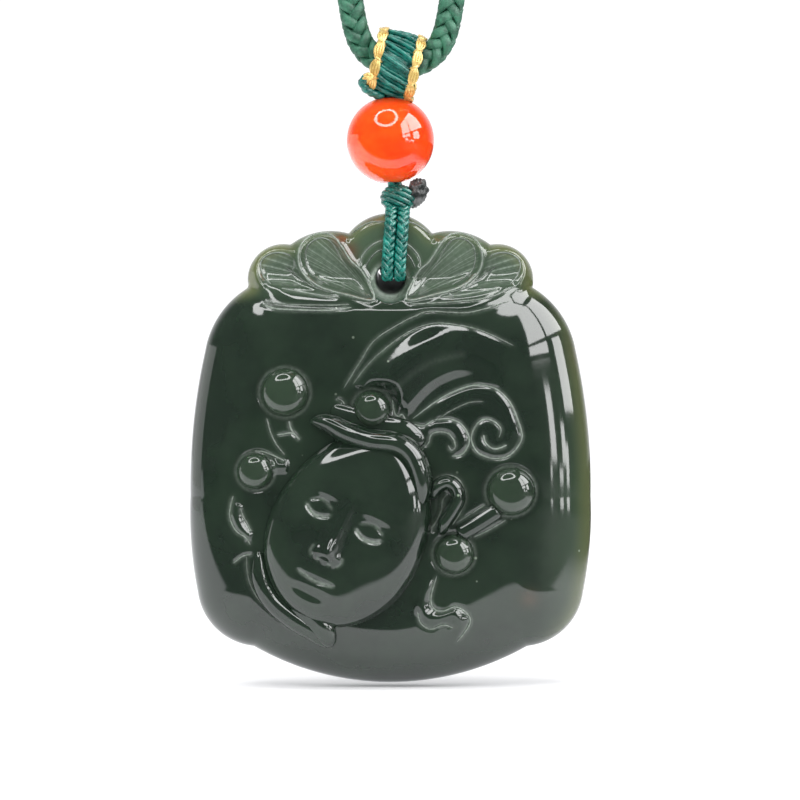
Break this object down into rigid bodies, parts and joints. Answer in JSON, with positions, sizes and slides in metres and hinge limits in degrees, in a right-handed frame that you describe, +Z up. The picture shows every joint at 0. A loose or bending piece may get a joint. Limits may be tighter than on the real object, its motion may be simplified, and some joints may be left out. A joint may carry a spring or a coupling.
{
  "type": "carved jade pendant necklace",
  "caption": "Pillow shaped jade plaque with a fan crest and a raised head under a winged hat, hung under a round bead and a wrapped ring on a whole loop of braided cord.",
  "frame": {"origin": "underside of the neck cord at the top of its loop, where it rests on a neck or a hook", "axes": "+Z up, the carved face towards -Y, the loop in the XZ plane"},
  "size_m": [0.097, 0.0138, 0.3544],
  "materials": {
    "braided_cord": "braided satin thread",
    "wrapped_thread": "waxed thread with a sheen",
    "gold_thread": "metallic thread",
    "sealed_thread": "melted thread end",
    "carnelian": "polished, translucent",
    "jade": "polished, frosted in the carved hollows"
  },
  "bodies": {
    "neck_loop": {"neck_cord": "braided_cord"},
    "drop": {"bail_ring": "wrapped_thread", "edging_left": "gold_thread", "edging_right": "gold_thread", "bead": "carnelian", "bead_thread": "wrapped_thread", "thread_knot": "wrapped_thread", "thread_end": "sealed_thread", "hanging_strand_left": "wrapped_thread", "hanging_strand_right": "wrapped_thread", "jade_plaque": "jade"}
  },
  "joints": [
    {"name": "drop_swing", "type": "hinge", "parent": "neck_loop", "child": "drop", "pos_m": [0, 0, -0.28171], "axis": [1, 0, 0], "range_deg": [-90, 90]}
  ]
}
